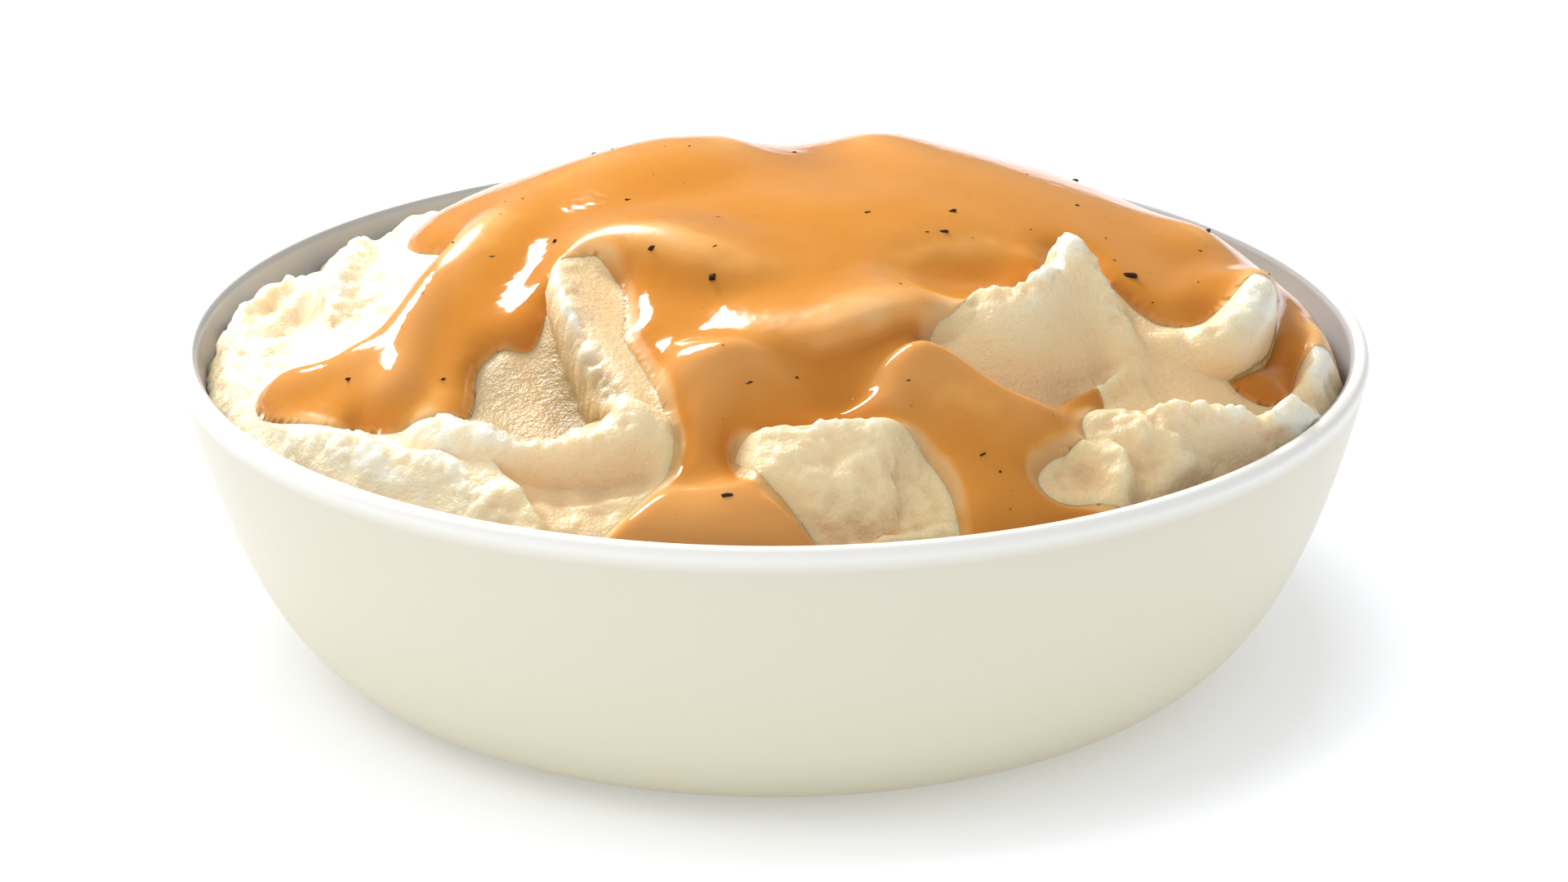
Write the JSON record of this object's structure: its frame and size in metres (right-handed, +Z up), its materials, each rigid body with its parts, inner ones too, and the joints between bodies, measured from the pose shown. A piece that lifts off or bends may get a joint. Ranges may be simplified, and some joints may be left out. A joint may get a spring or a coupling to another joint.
{
  "type": "bowl of mashed potato with gravy",
  "caption": "Side dish of mashed potato heaped in a shallow round bowl, its spooned folds and lips partly covered by thick brown gravy with cracked pepper.",
  "frame": {"origin": "middle of the bowl's foot, on the plane that it rests on", "axes": "+Z up, along the bowl's axis; +Y to the back, so that the fullest folds of the heap and the gravy's streams face -Y; +X to the right"},
  "size_m": [0.13, 0.13, 0.0552],
  "materials": {
    "bowl": "satin ivory glaze",
    "mash": "moist, soft and creamy",
    "gravy": "wet and glossy, translucent where thin"
  },
  "bodies": {
    "root": {"bowl": "bowl", "mash": "mash", "gravy": "gravy"}
  },
  "joints": []
}
